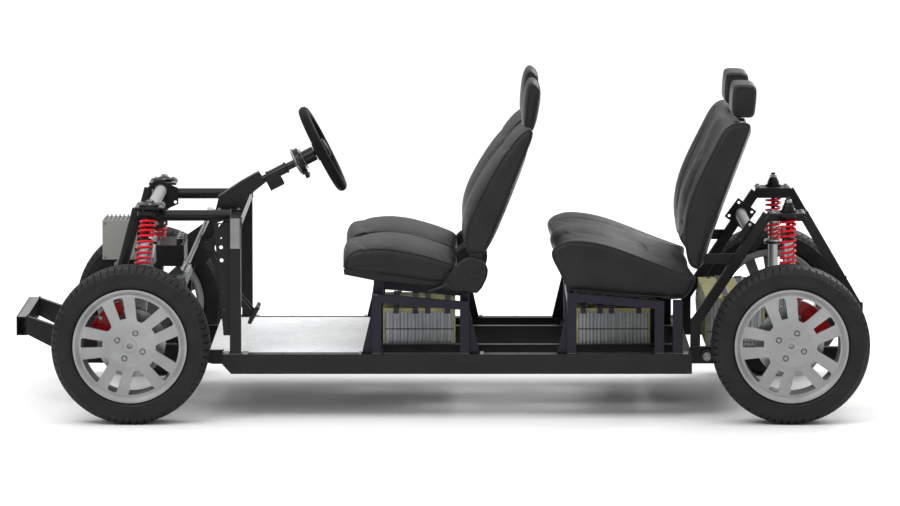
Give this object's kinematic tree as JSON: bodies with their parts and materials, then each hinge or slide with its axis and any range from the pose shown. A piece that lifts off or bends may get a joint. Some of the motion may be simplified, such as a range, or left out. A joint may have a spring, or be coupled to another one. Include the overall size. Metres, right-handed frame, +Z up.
{
  "type": "electric car rolling chassis",
  "caption": "Tube-frame rolling chassis of a small electric car with sprung wheels, steering, pedals, seats and battery packs.",
  "frame": {"origin": "on the ground, below the middle of the overall length and width", "axes": "nose towards -X, driver's side (left) towards -Y, +Z up"},
  "size_m": [3.134, 1.584, 1.226],
  "materials": {
    "frame_black": "satin black powder coat",
    "galvanised_sheet": "bright galvanised",
    "stand_paint": "satin blue-black paint",
    "module_grey": "matt moulded",
    "lid_yellow": "matt moulded",
    "cast_alloy": "as cast",
    "electronics_grey": "satin",
    "mount_black": "semi-gloss",
    "polished_steel": "ground",
    "tyre_rubber": "matt",
    "rim_silver": "silver lacquer",
    "disc_iron": "turned",
    "strut_silver": "zinc plated",
    "caliper_red": "gloss red",
    "spring_red": "gloss red",
    "arm_black": "satin",
    "seat_leather": "soft grained",
    "trim_plastic": "grained",
    "wheel_grip": "smooth grained",
    "pedal_black": "satin"
  },
  "bodies": {
    "chassis": {"side_sills": "frame_black", "centre_frame": "frame_black", "floor_panel": "galvanised_sheet", "front_frame": "frame_black", "dash_frame": "frame_black", "rear_frame": "frame_black", "seat_stands": "stand_paint", "battery_modules": "module_grey", "battery_lids": "lid_yellow", "drive_unit": "cast_alloy", "power_electronics": "electronics_grey", "steering_rack_housing": "cast_alloy", "strut_tops": "mount_black", "steering_column": "mount_black", "rear_cushions": "seat_leather", "rear_backrests": "seat_leather", "spring_rear_left": "spring_red", "spring_rear_right": "spring_red"},
    "steering_wheel": {"steering_wheel": "wheel_grip"},
    "intermediate_shaft": {"intermediate_shaft": "polished_steel"},
    "rack": {"rack_bar": "polished_steel"},
    "steer_front_left": {"spring_front_left": "spring_red"},
    "carrier_front_left": {"strut_front_left": "strut_silver", "caliper_front_left": "caliper_red"},
    "carrier_rear_left": {"strut_rear_left": "strut_silver", "caliper_rear_left": "caliper_red"},
    "wheel_front_left": {"tyre_front_left": "tyre_rubber", "rim_front_left": "rim_silver", "brake_disc_front_left": "disc_iron"},
    "wheel_rear_left": {"tyre_rear_left": "tyre_rubber", "rim_rear_left": "rim_silver", "brake_disc_rear_left": "disc_iron"},
    "lower_arm_left": {"lower_arm_front_left": "arm_black"},
    "trailing_arm_left": {"trailing_arm_left": "arm_black"},
    "tie_rod_left": {"tie_rod_left": "arm_black"},
    "seat_left": {"front_cushion_left": "seat_leather"},
    "backrest_left": {"front_backrest_left": "seat_leather"},
    "recline_lever_left": {"recline_lever_left": "trim_plastic"},
    "headrest_left": {"rear_headrest_left": "seat_leather"},
    "steer_front_right": {"spring_front_right": "spring_red"},
    "carrier_front_right": {"strut_front_right": "strut_silver", "caliper_front_right": "caliper_red"},
    "carrier_rear_right": {"strut_rear_right": "strut_silver", "caliper_rear_right": "caliper_red"},
    "wheel_front_right": {"tyre_front_right": "tyre_rubber", "rim_front_right": "rim_silver", "brake_disc_front_right": "disc_iron"},
    "wheel_rear_right": {"tyre_rear_right": "tyre_rubber", "rim_rear_right": "rim_silver", "brake_disc_rear_right": "disc_iron"},
    "lower_arm_right": {"lower_arm_front_right": "arm_black"},
    "trailing_arm_right": {"trailing_arm_right": "arm_black"},
    "tie_rod_right": {"tie_rod_right": "arm_black"},
    "seat_right": {"front_cushion_right": "seat_leather"},
    "backrest_right": {"front_backrest_right": "seat_leather"},
    "recline_lever_right": {"recline_lever_right": "trim_plastic"},
    "headrest_right": {"rear_headrest_right": "seat_leather"},
    "indicator_stalk": {"indicator_stalk": "mount_black"},
    "brake_pedal": {"brake_pedal": "pedal_black"},
    "accelerator_pedal": {"accelerator_pedal": "pedal_black"}
  },
  "joints": [
    {"name": "steering_wheel_turn", "type": "hinge", "parent": "chassis", "child": "steering_wheel", "pos_m": [-0.431, -0.3, 0.965], "axis": [-0.8894, 0, -0.4571], "range_deg": [-540, 540]},
    {"name": "intermediate_shaft_turn", "type": "hinge", "parent": "chassis", "child": "intermediate_shaft", "pos_m": [-0.836, -0.3, 0.752], "axis": [-0.4016, 0.2481, -0.8816], "range_deg": [-541, 541]},
    {"name": "rack_travel", "type": "slide", "parent": "chassis", "child": "rack", "axis": [0, 1, 0], "range_m": [-0.058, 0.058]},
    {"name": "steer_left", "type": "hinge", "parent": "chassis", "child": "steer_front_left", "pos_m": [-1.06133, -0.50432, 0.76], "axis": [0.1169, 0.198, 0.9732], "range_deg": [-25.1, 25.1]},
    {"name": "suspension_front_left", "type": "slide", "parent": "steer_front_left", "child": "carrier_front_left", "axis": [0.1169, 0.198, 0.9732], "range_m": [-0.04, 0.05], "stiffness_N_per_m": 26000, "springref_m": -0.05, "deforming": ["spring_front_left"]},
    {"name": "suspension_rear_left", "type": "slide", "parent": "chassis", "child": "carrier_rear_left", "axis": [0, 0, 1], "range_m": [-0.04, 0.05], "stiffness_N_per_m": 26000, "springref_m": -0.055, "deforming": ["spring_rear_left"]},
    {"name": "wheel_spin_front_left", "type": "hinge", "parent": "carrier_front_left", "child": "wheel_front_left", "pos_m": [-1.121, -0.7, 0.288], "axis": [0, 1, 0], "continuous": true},
    {"name": "wheel_spin_rear_left", "type": "hinge", "parent": "carrier_rear_left", "child": "wheel_rear_left", "pos_m": [1.279, -0.7, 0.288], "axis": [0, 1, 0], "continuous": true},
    {"name": "lower_arm_swing_left", "type": "hinge", "parent": "chassis", "child": "lower_arm_left", "pos_m": [-1.126, -0.34, 0.21], "axis": [1, 0, 0], "range_deg": [-12, 12]},
    {"name": "trailing_arm_swing_left", "type": "hinge", "parent": "chassis", "child": "trailing_arm_left", "pos_m": [0.984, -0.477, 0.216], "axis": [0, 1, 0], "range_deg": [-14, 14]},
    {"name": "tie_rod_swing_left", "type": "hinge", "parent": "rack", "child": "tie_rod_left", "pos_m": [-0.961, -0.312, 0.455], "axis": [1, 0, 0], "range_deg": [-14, 14]},
    {"name": "seat_slide_left", "type": "slide", "parent": "chassis", "child": "seat_left", "axis": [0.9891, 0, -0.1474], "range_m": [-0.1, 0.1]},
    {"name": "backrest_recline_left", "type": "hinge", "parent": "seat_left", "child": "backrest_left", "pos_m": [0.129, -0.3, 0.53], "axis": [0, 1, 0], "range_deg": [-25, 28]},
    {"name": "recline_lever_lift_left", "type": "hinge", "parent": "seat_left", "child": "recline_lever_left", "pos_m": [0.029, -0.56, 0.487], "axis": [0, 1, 0], "range_deg": [0, 25], "stiffness_Nm_per_rad": 1, "springref_deg": -17.19},
    {"name": "headrest_lift_left", "type": "slide", "parent": "chassis", "child": "headrest_left", "axis": [0.1392, 0, 0.9903], "range_m": [0, 0.06]},
    {"name": "steer_right", "type": "hinge", "parent": "chassis", "child": "steer_front_right", "pos_m": [-1.06133, 0.50432, 0.76], "axis": [0.1169, -0.198, 0.9732], "range_deg": [-25.1, 25.1]},
    {"name": "suspension_front_right", "type": "slide", "parent": "steer_front_right", "child": "carrier_front_right", "axis": [0.1169, -0.198, 0.9732], "range_m": [-0.04, 0.05], "stiffness_N_per_m": 26000, "springref_m": -0.05, "deforming": ["spring_front_right"]},
    {"name": "suspension_rear_right", "type": "slide", "parent": "chassis", "child": "carrier_rear_right", "axis": [0, 0, 1], "range_m": [-0.04, 0.05], "stiffness_N_per_m": 26000, "springref_m": -0.055, "deforming": ["spring_rear_right"]},
    {"name": "wheel_spin_front_right", "type": "hinge", "parent": "carrier_front_right", "child": "wheel_front_right", "pos_m": [-1.121, 0.7, 0.288], "axis": [0, 1, 0], "continuous": true},
    {"name": "wheel_spin_rear_right", "type": "hinge", "parent": "carrier_rear_right", "child": "wheel_rear_right", "pos_m": [1.279, 0.7, 0.288], "axis": [0, 1, 0], "continuous": true},
    {"name": "lower_arm_swing_right", "type": "hinge", "parent": "chassis", "child": "lower_arm_right", "pos_m": [-1.126, 0.34, 0.21], "axis": [1, 0, 0], "range_deg": [-12, 12]},
    {"name": "trailing_arm_swing_right", "type": "hinge", "parent": "chassis", "child": "trailing_arm_right", "pos_m": [0.984, 0.477, 0.216], "axis": [0, 1, 0], "range_deg": [-14, 14]},
    {"name": "tie_rod_swing_right", "type": "hinge", "parent": "rack", "child": "tie_rod_right", "pos_m": [-0.961, 0.312, 0.455], "axis": [1, 0, 0], "range_deg": [-14, 14]},
    {"name": "seat_slide_right", "type": "slide", "parent": "chassis", "child": "seat_right", "axis": [0.9891, 0, -0.1474], "range_m": [-0.1, 0.1]},
    {"name": "backrest_recline_right", "type": "hinge", "parent": "seat_right", "child": "backrest_right", "pos_m": [0.129, 0.3, 0.53], "axis": [0, 1, 0], "range_deg": [-25, 28]},
    {"name": "recline_lever_lift_right", "type": "hinge", "parent": "seat_right", "child": "recline_lever_right", "pos_m": [0.029, 0.56, 0.487], "axis": [0, 1, 0], "range_deg": [0, 25], "stiffness_Nm_per_rad": 1, "springref_deg": -17.19},
    {"name": "headrest_lift_right", "type": "slide", "parent": "chassis", "child": "headrest_right", "axis": [0.1392, 0, 0.9903], "range_m": [0, 0.06]},
    {"name": "indicator_flick", "type": "hinge", "parent": "chassis", "child": "indicator_stalk", "pos_m": [-0.51638, -0.358, 0.92112], "axis": [-0.8894, 0, -0.4571], "range_deg": [-7, 7]},
    {"name": "brake_press", "type": "hinge", "parent": "chassis", "child": "brake_pedal", "pos_m": [-0.856, -0.35, 0.61], "axis": [0, 1, 0], "range_deg": [0, 12], "stiffness_Nm_per_rad": 18, "springref_deg": -14.32},
    {"name": "accelerator_press", "type": "hinge", "parent": "chassis", "child": "accelerator_pedal", "pos_m": [-0.856, -0.245, 0.61], "axis": [0, 1, 0], "range_deg": [0, 12], "stiffness_Nm_per_rad": 8, "springref_deg": -14.32}
  ],
  "couplings": [
    {"joint": "intermediate_shaft_turn", "follows": "steering_wheel_turn", "ratio": 1},
    {"joint": "rack_travel", "follows": "steering_wheel_turn", "m_per_rad": -0.0061009},
    {"joint": "steer_left", "follows": "steering_wheel_turn", "ratio": -0.046296},
    {"joint": "lower_arm_swing_left", "follows": "suspension_front_left", "rad_per_m": -3.5103},
    {"joint": "trailing_arm_swing_left", "follows": "suspension_rear_left", "rad_per_m": -4.0816},
    {"joint": "tie_rod_swing_left", "follows": "suspension_front_left", "rad_per_m": -4.1768},
    {"joint": "steer_right", "follows": "steering_wheel_turn", "ratio": -0.046296},
    {"joint": "lower_arm_swing_right", "follows": "suspension_front_right", "rad_per_m": 3.5103},
    {"joint": "trailing_arm_swing_right", "follows": "suspension_rear_right", "rad_per_m": -4.0816},
    {"joint": "tie_rod_swing_right", "follows": "suspension_front_right", "rad_per_m": 4.1768}
  ]
}
